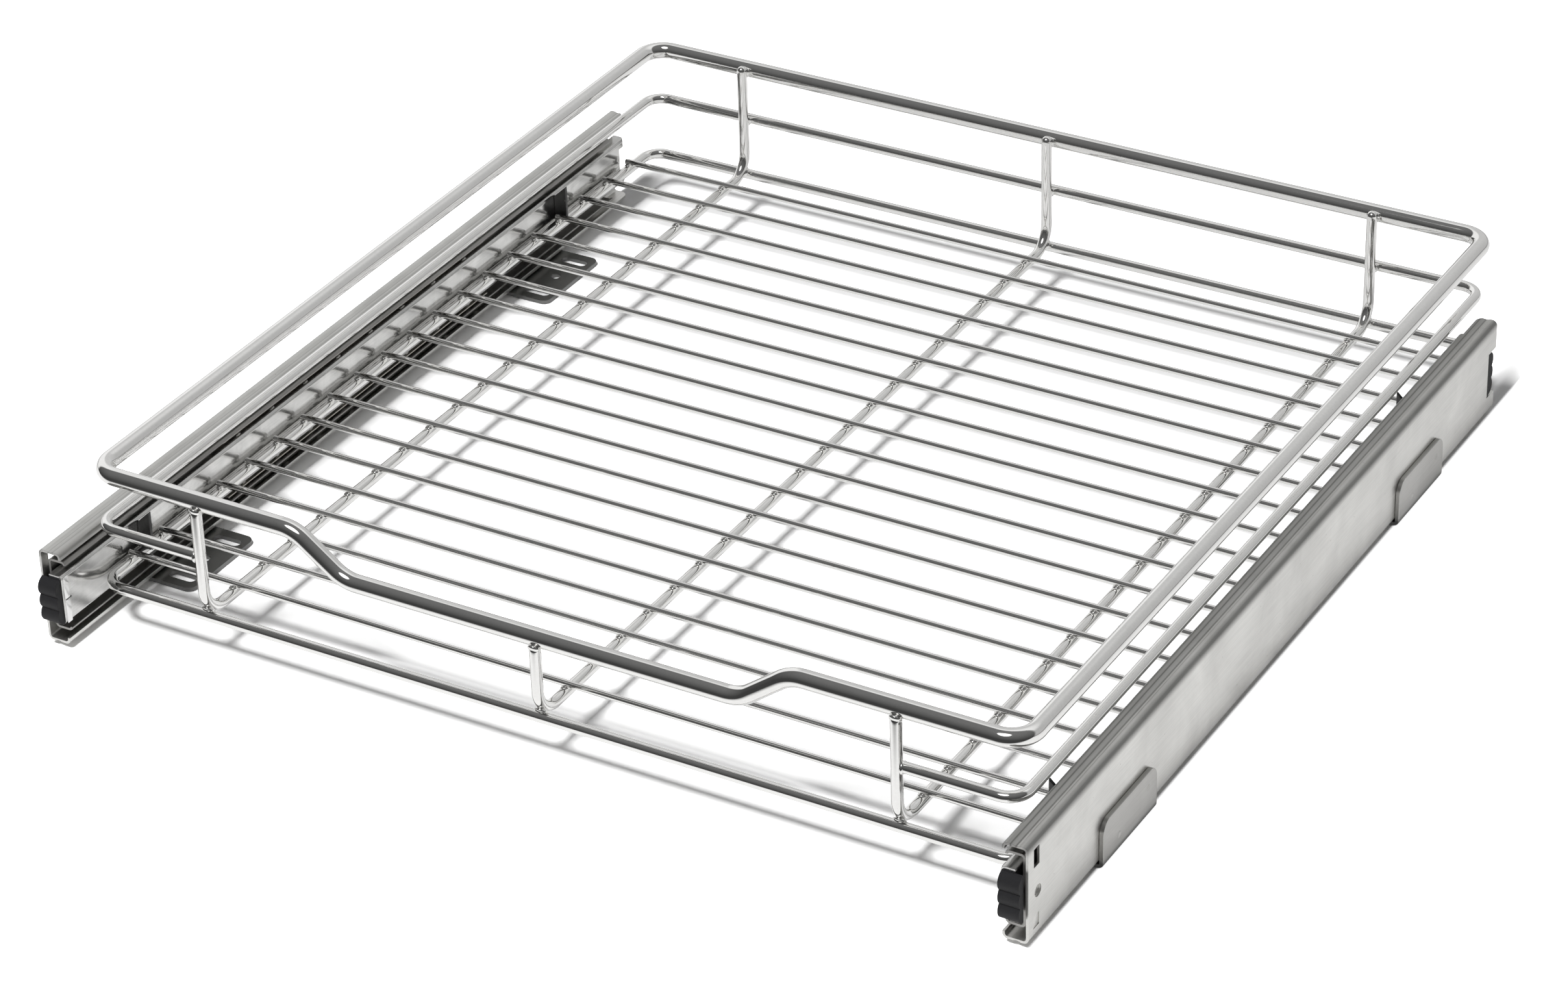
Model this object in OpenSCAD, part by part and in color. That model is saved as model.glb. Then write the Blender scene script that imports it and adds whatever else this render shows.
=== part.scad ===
// Pull-out wire basket for a base cabinet, on a pair of three-part ball slides.
// +Z is up, -Y is the way the basket pulls out, and the feet stand on z = 0.
// The basket slides on y; its rest position is pushed fully in.

/* [Basket] */
// Outside width of the top rail
basket_w = 446; // [380:1:560]
// Outside depth of the top rail
basket_d = 461; // [455:1:480]
// Height of the top rail's centreline above the bottom rail's
rail_rise = 53.8; // [48:0.2:90]
// Height of the middle rail's centreline above the bottom rail's
mid_rise = 27.8; // [24:0.2:34]
// How far the middle and bottom rails stand inside the top rail's outside
lower_inset = 2; // [1:0.5:8]
// Centreline radius of the top rail's corners
top_corner_r = 11; // [8:0.5:40]
// Centreline radius of the middle and bottom rails' corners
lower_corner_r = 9; // [6:0.5:20]
// Distance from the middle rib to each side rib
rib_spacing = 165.2; // [145:0.2:175]
// How far the ribs' front uprights stand ahead of the top rail's centreline
upright_lead = 3.1; // [1:0.1:3.5]
// How far the middle rail's front ends stand ahead of the top rail's centreline
mid_lead = 1.9; // [1:0.1:3]

/* [Wires] */
// Diameter of the top rail's wire
top_wire = 8; // [6:0.5:10]
// Diameter of the wire of the ribs and of the middle and bottom rails
frame_wire = 5; // [4:0.5:6]
// Diameter of the cross wires of the floor
cross_wire_d = 3; // [2:0.25:4]
// Number of cross wires
cross_wire_count = 20; // [14:1:22]
// From the start of the ribs' flat to the first cross wire
cross_front = 8.4; // [4:0.2:20]
// From the last cross wire to the end of the ribs' flat
cross_back = 10.1; // [4:0.2:20]
// How far the cross wires' ends stop short of the bottom rail's outside
tip_inset = 1.2; // [0.5:0.1:2.5]
// Air left between wires where a weld joins them
weld_gap = 0.05; // [0.02:0.01:0.1]

/* [Handle dip] */
// How far the front of the top rail dips
dip_depth = 17.7; // [12:0.3:22]
// From the centre to the middle of each slope of the dip
dip_half = 105.4; // [60:0.2:120]
// Centreline radius of the dip's four bends
dip_bend_r = 18; // [10:1:25]

/* [Slides] */
// Length of the cabinet member
slide_len = 457.2; // [440:0.2:460]
// Height of the cabinet member
slide_h = 45; // [43:0.5:50]
// Depth of the whole slide, wall side to basket side
slide_d = 11.4; // [11:0.1:13]
// Thickness of the slide members' sheet
sheet_t = 1.2; // [1:0.1:1.3]
// Air between the basket's lower rails and the slides
slide_gap = 1.2; // [0.8:0.1:3]
// Height of the slides' centre above the bottom rail's centreline
slide_lift = 3; // [0:0.5:6]
// How far the slides' front ends stand ahead of the top rail's centreline
slide_lead = 25; // [15:0.5:35]
// How far the slides pull out
travel = 450; // [300:10:450]

/* [Balls] */
// Diameter of the balls
ball_d = 3.9; // [3:0.1:4.2]
// Running clearance of a ball on each side
ball_play = 0.1; // [0.05:0.01:0.2]
// Balls in each row
ball_count = 8; // [4:1:8]
// Distance between balls
ball_pitch = 26; // [20:1:26]
// Thickness of the ball cages
cage_t = 0.6; // [0.4:0.1:0.7]

/* [Feet] */
// Thickness of the feet's plate
foot_t = 2; // [1.5:0.25:3]
// Length of a foot along the slide
foot_l = 47.5; // [44:0.5:60]
// Height of a foot's upstand
foot_h = 22; // [16:0.5:30]
// How far a foot's floor plate reaches in from the slide's outside
foot_reach = 31; // [29:0.5:45]
// Middle of the front foot, from the slide's front end
foot_front_at = 83.5; // [50:0.5:120]
// Middle of the rear foot, from the slide's front end
foot_rear_at = 370.5; // [300:0.5:400]
// Width of the fixing slots
slot_w = 5; // [4:0.1:5.5]
// Length of the fixing slots, end to end
slot_l = 13.5; // [9:0.5:14]
// Distance between a foot's two slots
slot_spacing = 33; // [28:0.5:34]
// Diameter of the round fixing hole between the slots
foot_hole_d = 4.5; // [3.5:0.1:5.5]
// From the slide's outside to the line of the fixing holes
foot_hole_in = 21.2; // [20:0.2:22]

/* [Brackets and bumpers] */
// Front brackets, from the top rail's front centreline
bracket_front_y = 28; // [24:0.5:33]
// Rear brackets, from the top rail's front centreline
bracket_rear_y = 363; // [300:0.5:400]
// Thickness of the brackets that join the basket to the slides
bracket_t = 1.6; // [1:0.1:2.5]
// Distance between the lobes of a rubber bumper
lobe_pitch = 6.4; // [5:0.1:6.6]
// Radius of the lobes of a rubber bumper
lobe_r = 4.6; // [3.6:0.1:5]

/* [Hidden] */
$fn = 48;
eps = 0.5;                                       // how far a cutter runs past a face
function hundredth(x) = round(x * 100) / 100;    // so that wires meet end to end exactly

top_r = top_wire / 2;
frame_r = frame_wire / 2;
cross_r = cross_wire_d / 2;

// heights
foot_air = 0.3;                                  // between a foot's plate and the slide above it
slide_z = foot_t + foot_air + slide_h / 2;       // centre of the slides
base_z = slide_z - slide_lift;                   // centreline of the bottom rail and the ribs
mid_z = base_z + mid_rise;
top_z = base_z + rail_rise;
cross_z = base_z + frame_r + weld_gap + cross_r;

// widths
top_half = hundredth(basket_w / 2 - top_r);
lower_half = hundredth(basket_w / 2 - lower_inset - frame_r);
slide_in = lower_half + frame_r + slide_gap;     // basket side of the slides
slide_out = slide_in + slide_d;                  // wall side of the slides
tip_half = lower_half + frame_r - tip_inset;

// depths, from the top rail's front centreline
back_y = basket_d - top_wire;                    // top rail's back centreline
front_upright_y = -upright_lead;
back_upright_y = back_y - top_r - weld_gap - frame_r;
mid_back_y = back_upright_y + frame_wire + weld_gap;
touch = frame_wire + weld_gap;                   // two frame wires side by side
rib_bend_r = hundredth(touch / (sqrt(2) - 1));   // the bottom rail nests outside the ribs' bends
cross_first = front_upright_y + rib_bend_r + cross_front;
cross_last = back_upright_y - rib_bend_r - cross_back;
cross_pitch = (cross_last - cross_first) / (cross_wire_count - 1);

// dip of the handle: its sides fall 3 in 4
dip_slope = atan2(3, 4);
dip_bend_x = hundredth(dip_bend_r * 0.6);
dip_bend_z = hundredth(dip_bend_r * 0.2);
dip_run = round((dip_depth - 2 * dip_bend_z) / 0.6 * 10) / 10;
dip_in = hundredth(dip_half - dip_run * 0.4 - dip_bend_x);
dip_out = dip_in + dip_run * 0.8 + 2 * dip_bend_x;
dip_z = top_z - dip_run * 0.6 - 2 * dip_bend_z;

// slide sections: depth u from the wall side, height v from the slide's centre
ball_gap = ball_d + 2 * ball_play;
outer_v = slide_h / 2;
mid_v = outer_v - sheet_t - ball_gap;
inner_v = mid_v - sheet_t - ball_gap;
outer_lip_v = outer_v - 3.2;
mid_lip_v = mid_v - 2;
cage_air = 0.3;
outer_cage_u = sheet_t + cage_air;
mid_u = outer_cage_u + cage_t + cage_air + 0.1;
inner_cage_u = mid_u + sheet_t + cage_air;
inner_u = inner_cage_u + cage_t + cage_air + 0.1;
outer_ball_v = outer_v - sheet_t - ball_gap / 2;
inner_ball_v = mid_v - sheet_t - ball_gap / 2;
outer_ball_u = slide_d / 2;
inner_ball_u = inner_u + ball_d / 2;
bend_r = 2.4;                                    // outside bend of the cabinet member
small_bend_r = 2;                                // and of the other two
groove_u = 5.2;                                  // middle of the groove pressed in its flanges
groove_r = 3;
groove_depth = 0.45;

// ends of the slide members, from the cabinet member's front end
mid_front = 2.6;
mid_rear = slide_len - 17.7;
inner_front = -1;
inner_rear = slide_len - 4.5;
lip_cut = 17.8;                                  // the cabinet member's lips stop short at the rear
web_cut = 5.5;                                   // so does the web of the basket member
web_cut_v = 7.7;

// dimple that stops the outer cage, and the slots near it: y, lowest v, height
stop_y = 7.9;
stop_v = -1.7;
stop_r = 2.7;
press_t = 0.5;
front_slot_w = 4.6;
front_slots = [[4.6, 10.5, 8.5], [4.2, -17.8, 5.8]];

// cages: a ball's centre lies cage_margin from the end, and the sides run cage_past beyond the balls
cage_margin = 14;
cage_past = 1;
cage_len = (ball_count - 1) * ball_pitch + 2 * cage_margin;
outer_cage_y = stop_y + stop_r + travel / 4 + 3; // clears the dimple at full travel
inner_cage_y = mid_front + travel / 4 + 3;       // stays inside the middle member at full travel

// bumpers
head_front = -5;                                 // tips of the front bumper
head_u = 1.6;                                    // its wall side
front_lobe_v = -0.6;
rear_lobe_v = -2.2;
notch_d = 8.2;                                   // notch in the cabinet member's rear end
notch_air = 0.2;
rear_tip = slide_len - 1.4;
rear_lobe_u = 0.3;
rear_lobe_t = 4.1;
tongue_t = 0.8;
tongue_l = 9;
tongue_h = 14;
lobe_h = 2 * (lobe_pitch + lobe_r);

// brackets, in heights above the bottom rail's centreline
bracket_low = 0.8;
bracket_wall_top = 13;
bracket_basket_top = 19.6;
bracket_reach = 6.8;

// feet
foot_bend_r = 3;
foot_corner_r = 4;
foot_ear_r = 6;
weld_spot_r = 3.6;
weld_spot_depth = 0.4;
weld_spots = [[-9.9, 8.5], [15.8, 14.9]];        // along the slide from the foot's middle, height

// the frame's origin is under the middle of the whole part
front_end = head_front - slide_lead;
rear_end = back_y + top_r;
centre_y = (front_end + rear_end) / 2;

chrome = [0.78, 0.79, 0.8];
zinc = [0.66, 0.66, 0.64];
steel_dark = [0.32, 0.32, 0.33];
rubber_black = [0.05, 0.05, 0.055];

// ---- helpers ----

// Moves a piece from the working origin, at the top rail's front centreline, to the part's own
module place() { translate([0, -centre_y, 0]) children(); }

// A straight wire from a point, along x, y or z
module wire_x(x0, x1, y, z, r) { translate([x0, y, z]) rotate([0, 90, 0]) cylinder(h = x1 - x0, r = r); }
module wire_y(x, y0, y1, z, r) { translate([x, y0, z]) rotate([-90, 0, 0]) cylinder(h = y1 - y0, r = r); }
module wire_z(x, y, z0, z1, r) { translate([x, y, z0]) cylinder(h = z1 - z0, r = r); }

// A bend of a wire that lies flat: centre, start angle, swept angle
module bend_flat(x, y, z, bend, r, a0, sweep) {
    translate([x, y, z]) rotate([0, 0, a0])
        rotate_extrude(angle = sweep, $fn = 96) translate([bend, 0]) circle(r);
}

// One side of the basket, drawn at -X, or its mirror image
module sided(side) {
    if (side == "right") mirror([1, 0, 0]) children();
    else children();
}

// The frame of the left slide: u from the wall side inwards, y from its front end, v up from its centre
module in_slide(side) { place() sided(side) translate([-slide_out, -slide_lead, slide_z]) children(); }

// A section drawn in u and v, run along y
module run(y0, y1) { translate([0, y1, 0]) rotate([90, 0, 0]) linear_extrude(y1 - y0) children(); }

// A rectangle with round corners
module round_rect(u0, u1, v0, v1, r) {
    translate([u0 + r, v0]) square([u1 - u0 - 2 * r, v1 - v0]);
    translate([u0, v0 + r]) square([u1 - u0, v1 - v0 - 2 * r]);
    for (u = [u0 + r, u1 - r]) for (v = [v0 + r, v1 - r]) translate([u, v]) circle(r);
}

// A pressed C: web at u0, flanges at +-half, lips that leave +-lip open on the basket side
module c_section(u0, u1, half, lip, r) {
    difference() {
        round_rect(u0, u1, -half, half, r);
        round_rect(u0 + sheet_t, u1 - sheet_t, -half + sheet_t, half - sheet_t, r - sheet_t);
        translate([u1 - sheet_t - eps, -lip]) square([sheet_t + 2 * eps, 2 * lip]);
    }
}

// Takes the square corner at (u, y) off a piece that lies within half of the slide's centre
module corner_cut(u, y, r, half) {
    translate([u - r, y - r, -half]) difference() {
        cube([r + eps, r + eps, 2 * half]);
        cylinder(h = 2 * half, r = r);
    }
}

// ---- basket ----

// A bend of the dip around (x, z): the last part, up to the dip's slope, of a quarter turn
module dip_bend(x, z, quarter) {
    side = 2 * dip_bend_r;
    translate([x, 0, z]) rotate([90, 0, 0]) intersection() {
        rotate([0, 0, quarter])
            rotate_extrude(angle = 90, $fn = 96) translate([dip_bend_r, 0]) circle(top_r);
        rotate([0, 0, quarter + 90 - dip_slope]) translate([-side, 0, -top_wire])
            cube([2 * side, side, 2 * top_wire]);
    }
}

// The left side of the dip: a bend down, a straight slope and a bend back to level
module dip_side() {
    dip_bend(-dip_out, top_z - dip_bend_r, 0);
    translate([-dip_out + dip_bend_x, 0, top_z - dip_bend_z]) rotate([0, 90 + dip_slope, 0])
        cylinder(h = dip_run, r = top_r);
    dip_bend(-dip_in, dip_z + dip_bend_r, 180);
}

module top_rail() {
    corner_x = top_half - top_corner_r;
    color(chrome) place() {
        for (s = [-1, 1]) {
            wire_y(s * top_half, top_corner_r, back_y - top_corner_r, top_z, top_r);
            wire_x(min(s * corner_x, s * dip_out), max(s * corner_x, s * dip_out), 0, top_z, top_r);
        }
        wire_x(-corner_x, corner_x, back_y, top_z, top_r);
        wire_x(-dip_in, dip_in, 0, dip_z, top_r);
        bend_flat(-corner_x, top_corner_r, top_z, top_corner_r, top_r, 180, 90);
        bend_flat(corner_x, top_corner_r, top_z, top_corner_r, top_r, 270, 90);
        bend_flat(corner_x, back_y - top_corner_r, top_z, top_corner_r, top_r, 0, 90);
        bend_flat(-corner_x, back_y - top_corner_r, top_z, top_corner_r, top_r, 90, 90);
        dip_side();
        mirror([1, 0, 0]) dip_side();
    }
}

// Open at the front, where its ends are coped against the side ribs' uprights
module middle_rail() {
    corner_x = lower_half - lower_corner_r;
    front_y = -mid_lead;
    color(chrome) place() difference() {
        union() {
            for (s = [-1, 1]) {
                wire_y(s * lower_half, front_y + lower_corner_r, mid_back_y - lower_corner_r,
                       mid_z, frame_r);
                wire_x(min(s * corner_x, s * rib_spacing), max(s * corner_x, s * rib_spacing),
                       front_y, mid_z, frame_r);
            }
            wire_x(-corner_x, corner_x, mid_back_y, mid_z, frame_r);
            bend_flat(-corner_x, front_y + lower_corner_r, mid_z, lower_corner_r, frame_r, 180, 90);
            bend_flat(corner_x, front_y + lower_corner_r, mid_z, lower_corner_r, frame_r, 270, 90);
            bend_flat(corner_x, mid_back_y - lower_corner_r, mid_z, lower_corner_r, frame_r, 0, 90);
            bend_flat(-corner_x, mid_back_y - lower_corner_r, mid_z, lower_corner_r, frame_r, 90, 90);
        }
        for (s = [-1, 1]) {
            translate([s * rib_spacing, front_upright_y, mid_z - frame_wire])
                cylinder(h = 2 * frame_wire, r = frame_r + weld_gap);
            translate([s * (rib_spacing - frame_r) - frame_r, -3 * frame_wire, mid_z - frame_wire])
                cube([frame_wire, 6 * frame_wire, 2 * frame_wire]);
        }
    }
}

module bottom_rail() {
    corner_x = lower_half - lower_corner_r;
    color(chrome) place() {
        for (s = [-1, 1])
            wire_y(s * lower_half, front_upright_y + lower_corner_r, back_upright_y - lower_corner_r,
                   base_z, frame_r);
        for (y = [front_upright_y, back_upright_y]) wire_x(-corner_x, corner_x, y, base_z, frame_r);
        bend_flat(-corner_x, front_upright_y + lower_corner_r, base_z, lower_corner_r, frame_r, 180, 90);
        bend_flat(corner_x, front_upright_y + lower_corner_r, base_z, lower_corner_r, frame_r, 270, 90);
        bend_flat(corner_x, back_upright_y - lower_corner_r, base_z, lower_corner_r, frame_r, 0, 90);
        bend_flat(-corner_x, back_upright_y - lower_corner_r, base_z, lower_corner_r, frame_r, 90, 90);
    }
}

// A U of wire at x: its front end is coped under the top rail at rail_z, its back end is rounded
module rib(x, rail_z) {
    front_top = rail_z - top_r / 3;
    back_top = top_z + top_r - frame_r;
    low = base_z + rib_bend_r;
    color(chrome) place() {
        difference() {
            wire_z(x, front_upright_y, low, front_top, frame_r);
            wire_x(x - frame_wire, x + frame_wire, 0, rail_z, top_r + weld_gap);
        }
        translate([x, front_upright_y + rib_bend_r, low]) rotate([90, 0, 90]) rotate([0, 0, 180])
            rotate_extrude(angle = 90, $fn = 96) translate([rib_bend_r, 0]) circle(frame_r);
        wire_y(x, front_upright_y + rib_bend_r, back_upright_y - rib_bend_r, base_z, frame_r);
        translate([x, back_upright_y - rib_bend_r, low]) rotate([90, 0, 90]) rotate([0, 0, 270])
            rotate_extrude(angle = 90, $fn = 96) translate([rib_bend_r, 0]) circle(frame_r);
        wire_z(x, back_upright_y, low, back_top, frame_r);
        translate([x, back_upright_y, back_top]) sphere(frame_r);
    }
}

module rib_left() { rib(-rib_spacing, top_z); }
module rib_centre() { rib(0, dip_z); }
module rib_right() { rib(rib_spacing, top_z); }

module cross_wire(i) {
    color(chrome) place() wire_x(-tip_half, tip_half, cross_first + (i - 1) * cross_pitch, cross_z, cross_r);
}

// A small plate that stands on the bottom rail and is welded to the inner member
module bracket(side, y) {
    edge = slide_in - weld_gap;
    free_edge = edge - bracket_reach;
    color(steel_dark) place() sided(side) difference() {
        translate([0, y + bracket_t / 2, base_z]) rotate([90, 0, 0]) linear_extrude(bracket_t)
            polygon([[-edge, bracket_low], [-free_edge, bracket_low],
                     [-free_edge, bracket_basket_top], [-edge, bracket_wall_top]]);
        wire_y(-lower_half, y - bracket_t, y + bracket_t, base_z, frame_r + weld_gap);
    }
}

// ---- slides ----

// Cabinet member
module outer_channel(side) {
    end_r = 4;
    past_v = outer_v + eps;
    color(zinc) in_slide(side) {
        difference() {
            run(0, slide_len) difference() {
                c_section(0, slide_d, outer_v, outer_lip_v, bend_r);
                for (s = [-1, 1])
                    translate([groove_u, s * (outer_v + groove_r - groove_depth)]) circle(groove_r);
            }
            // lips cut short and flanges rounded at the rear
            translate([slide_d - bend_r, slide_len - lip_cut, -past_v])
                cube([bend_r + eps, lip_cut + eps, 2 * past_v]);
            corner_cut(slide_d - bend_r, slide_len, end_r, past_v);
            // slots near the front end, and the hole that the dimple fills
            for (slot = front_slots)
                translate([-eps, slot[0], slot[1]]) cube([sheet_t + 2 * eps, front_slot_w, slot[2]]);
            translate([-eps, stop_y, stop_v]) rotate([0, 90, 0]) cylinder(h = sheet_t + 2 * eps, r = stop_r);
            // notch for the rear bumper
            translate([-eps, slide_len - notch_d, rear_lobe_v - lobe_h / 2 - notch_air])
                cube([sheet_t + 2 * eps, notch_d + eps, lobe_h + 2 * notch_air]);
        }
        // dimple pressed in from the wall side
        translate([sheet_t - press_t, stop_y, stop_v]) rotate([0, 90, 0]) difference() {
            cylinder(h = 2 * press_t, r = stop_r);
            translate([0, 0, -eps]) cylinder(h = press_t + eps, r = stop_r - press_t);
        }
    }
}

// Middle member
module intermediate_channel(side) {
    color(zinc) in_slide(side) run(mid_front, mid_rear)
        c_section(mid_u, slide_d, mid_v, mid_lip_v, small_bend_r);
}

// Basket member, open towards the wall
module inner_channel(side) {
    r = small_bend_r;
    end_r = 3;
    web_u = slide_d - sheet_t;
    color(zinc) in_slide(side) difference() {
        run(inner_front, inner_rear) difference() {
            union() {
                round_rect(inner_u, slide_d, -inner_v, inner_v, r);
                translate([inner_u, -inner_v]) square([slide_d - inner_u - r, 2 * inner_v]);
            }
            translate([-eps, -inner_v + sheet_t]) square([slide_d - r + eps, 2 * (inner_v - sheet_t)]);
            round_rect(inner_u, web_u, -inner_v + sheet_t, inner_v - sheet_t, r - sheet_t);
        }
        translate([web_u - eps, inner_rear - web_cut, -web_cut_v])
            cube([sheet_t + 2 * eps, web_cut + eps, 2 * web_cut_v]);
        corner_cut(slide_d, inner_rear, end_r, outer_v);
    }
}

// A thin C that keeps two rows of balls apart: back at u0, rows at +-row
module cage(side, u0, row, ball_u, y0) {
    u1 = ball_u + ball_d / 2 + cage_past;
    color(steel_dark) in_slide(side) difference() {
        union() {
            translate([u0, y0, -row - cage_t / 2]) cube([cage_t, cage_len, 2 * row + cage_t]);
            for (s = [-1, 1])
                translate([u0, y0, s * row - cage_t / 2]) cube([u1 - u0, cage_len, cage_t]);
        }
        for (i = [0:ball_count - 1])
            translate([ball_u, y0 + cage_margin + i * ball_pitch, -row - cage_t])
                cylinder(h = 2 * (row + cage_t), r = ball_d / 2 + ball_play);
    }
}

module balls(side, row, ball_u, y0) {
    color(chrome) in_slide(side) for (i = [0:ball_count - 1]) for (s = [-1, 1])
        translate([ball_u, y0 + cage_margin + i * ball_pitch, s * row]) sphere(ball_d / 2, $fn = 32);
}

module outer_cage(side) { cage(side, outer_cage_u, outer_ball_v, outer_ball_u, outer_cage_y); }
module inner_cage(side) { cage(side, inner_cage_u, inner_ball_v, inner_ball_u, inner_cage_y); }
module outer_balls(side) { balls(side, outer_ball_v, outer_ball_u, outer_cage_y); }
module inner_balls(side) { balls(side, inner_ball_v, inner_ball_u, inner_cage_y); }

// ---- bumpers ----

// Three rubber lobes side by side, tips at y = 0, pointing to -y
module lobes(u0, u1, v, depth) {
    intersection() {
        union() for (i = [-1:1])
            translate([u0, lobe_r, v + i * lobe_pitch]) rotate([0, 90, 0]) cylinder(h = u1 - u0, r = lobe_r);
        translate([u0, -eps, v - lobe_h]) cube([u1 - u0, depth + eps, 2 * lobe_h]);
    }
}

// Plugged into the front end of the basket member
module front_bumper(side) {
    plug_air = 0.1;
    plug_l = 12;
    plug_u = inner_u + plug_air;
    plug_v = inner_v - sheet_t - plug_air;
    head_d = inner_front - weld_gap - head_front;
    color(rubber_black) in_slide(side) {
        translate([0, head_front, 0]) lobes(head_u, slide_d - sheet_t / 2, front_lobe_v, head_d);
        translate([plug_u, inner_front - eps, -plug_v])
            cube([slide_d - sheet_t - plug_air - plug_u, plug_l + eps, 2 * plug_v]);
    }
}

// Seated in the notch of the cabinet member's rear end
module rear_bumper(side) {
    seat_y = slide_len - notch_d + weld_gap;
    color(rubber_black) in_slide(side) {
        translate([0, rear_tip, 0]) mirror([0, 1, 0])
            lobes(rear_lobe_u, rear_lobe_u + rear_lobe_t, rear_lobe_v, rear_tip - seat_y);
        translate([sheet_t + weld_gap, seat_y - tongue_l, rear_lobe_v - tongue_h / 2])
            cube([tongue_t, tongue_l + 1, tongue_h]);
    }
}

// ---- feet ----

// An L of plate under the slide, welded to its wall side, with two slots and a round hole
module foot(side, at) {
    corner_r = foot_corner_r;
    ear_r = foot_ear_r;
    bend = foot_bend_r;
    out = -foot_t - weld_gap;                    // outside face, in u
    reach = foot_reach;
    hole_u = foot_hole_in;
    color(zinc) in_slide(side) translate([0, at - foot_l / 2, -slide_z]) difference() {
        intersection() {
            run(0, foot_l) difference() {
                union() {
                    translate([out + bend, 0]) square([reach - out - bend, foot_t]);
                    translate([out, bend]) square([foot_t, foot_h - bend]);
                    translate([out + bend, bend]) circle(bend);
                }
                translate([out + foot_t, foot_t]) square([reach, foot_h]);
            }
            // round corners of the floor plate
            translate([0, 0, -eps]) linear_extrude(foot_h + 2 * eps) union() {
                translate([out - eps, 0]) square([reach - out + eps - corner_r, foot_l]);
                translate([0, corner_r]) square([reach, foot_l - 2 * corner_r]);
                for (y = [corner_r, foot_l - corner_r]) translate([reach - corner_r, y]) circle(corner_r);
            }
            // round top corners of the upstand
            translate([out - eps, 0, 0]) rotate([90, 0, 90]) linear_extrude(reach - out + 2 * eps) union() {
                translate([0, -eps]) square([foot_l, foot_h - ear_r + eps]);
                translate([ear_r, 0]) square([foot_l - 2 * ear_r, foot_h]);
                for (y = [ear_r, foot_l - ear_r]) translate([y, foot_h - ear_r]) circle(ear_r);
            }
        }
        translate([hole_u, foot_l / 2, -eps]) cylinder(h = foot_t + 2 * eps, r = foot_hole_d / 2);
        for (s = [-1, 1]) translate([hole_u, foot_l / 2 + s * slot_spacing / 2, -eps]) {
            straight = slot_l - slot_w;
            translate([-straight / 2, -slot_w / 2, 0]) cube([straight, slot_w, foot_t + 2 * eps]);
            for (e = [-1, 1]) translate([e * straight / 2, 0, 0])
                cylinder(h = foot_t + 2 * eps, r = slot_w / 2);
        }
        // spot welds pressed into the upstand
        for (spot = weld_spots)
            translate([out + weld_spot_depth - weld_spot_r, foot_l / 2 + spot[0], spot[1]])
                sphere(weld_spot_r);
    }
}

top_rail();
middle_rail();
bottom_rail();
rib_left();
rib_centre();
rib_right();
for (i = [1:cross_wire_count]) cross_wire(i);
for (side = ["left", "right"]) {
    outer_channel(side);
    intermediate_channel(side);
    inner_channel(side);
    outer_cage(side);
    inner_cage(side);
    outer_balls(side);
    inner_balls(side);
    foot(side, foot_front_at);
    foot(side, foot_rear_at);
    bracket(side, bracket_front_y);
    bracket(side, bracket_rear_y);
    front_bumper(side);
    rear_bumper(side);
}
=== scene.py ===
import math

import bpy
from mathutils import Matrix, Vector


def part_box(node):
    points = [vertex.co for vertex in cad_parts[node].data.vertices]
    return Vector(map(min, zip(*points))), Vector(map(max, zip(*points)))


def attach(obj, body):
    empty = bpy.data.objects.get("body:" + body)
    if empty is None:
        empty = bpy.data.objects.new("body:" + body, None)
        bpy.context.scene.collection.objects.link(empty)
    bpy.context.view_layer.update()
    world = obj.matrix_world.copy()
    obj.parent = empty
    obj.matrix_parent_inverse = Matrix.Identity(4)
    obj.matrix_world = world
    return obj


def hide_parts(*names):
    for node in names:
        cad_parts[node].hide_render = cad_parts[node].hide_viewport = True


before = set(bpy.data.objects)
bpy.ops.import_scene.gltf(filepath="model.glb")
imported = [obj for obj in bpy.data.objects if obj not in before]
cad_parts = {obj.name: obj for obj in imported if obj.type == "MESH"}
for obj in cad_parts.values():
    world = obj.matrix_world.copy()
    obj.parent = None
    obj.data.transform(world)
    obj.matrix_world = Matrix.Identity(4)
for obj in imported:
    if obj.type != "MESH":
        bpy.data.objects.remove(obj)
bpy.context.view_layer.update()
print("frame loaded")

mm = 0.001
xAxis = Vector((1, 0, 0))
yAxis = Vector((0, 1, 0))
zAxis = Vector((0, 0, 1))

cameraSetup = {
    "place": (0.90373, -1.53561, 1.09073),
    "turn": 30.765,    # round the basket, from straight in front
    "tilt": 31.196,    # above the horizon
    "roll": -1.842,
    "lens": 108.952,
    "near": 0.05, "far": 60,
}


def addCamera(setup):
    turned = Matrix.Rotation(math.radians(setup["turn"]), 4, "Z")
    tilted = Matrix.Rotation(math.radians(90 - setup["tilt"]), 4, "X")
    rolled = Matrix.Rotation(math.radians(setup["roll"]), 4, "Z")
    bpy.ops.object.camera_add(location=setup["place"],
                              rotation=(turned @ tilted @ rolled).to_euler())
    camera = bpy.context.object
    camera.name = "camera"
    camera.data.lens = setup["lens"]
    camera.data.clip_start = setup["near"]
    camera.data.clip_end = setup["far"]
    bpy.context.scene.camera = camera


addCamera(cameraSetup)
print("camera set")


def addNode(tree, kind, values=None, **settings):
    node = tree.nodes.new(kind)
    for key, value in settings.items():
        setattr(node, key, value)
    for key, value in (values or {}).items():
        node.inputs[key].default_value = value
    return node


def addRange(tree, fromLow, fromHigh, toLow=0, toHigh=1, eased=False):
    return addNode(tree, "ShaderNodeMapRange", {"From Min": fromLow, "From Max": fromHigh,
                                                "To Min": toLow, "To Max": toHigh},
                   interpolation_type="SMOOTHSTEP" if eased else "LINEAR")


def wire(tree, fromSocket, toSocket):
    tree.links.new(fromSocket, toSocket)


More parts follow.
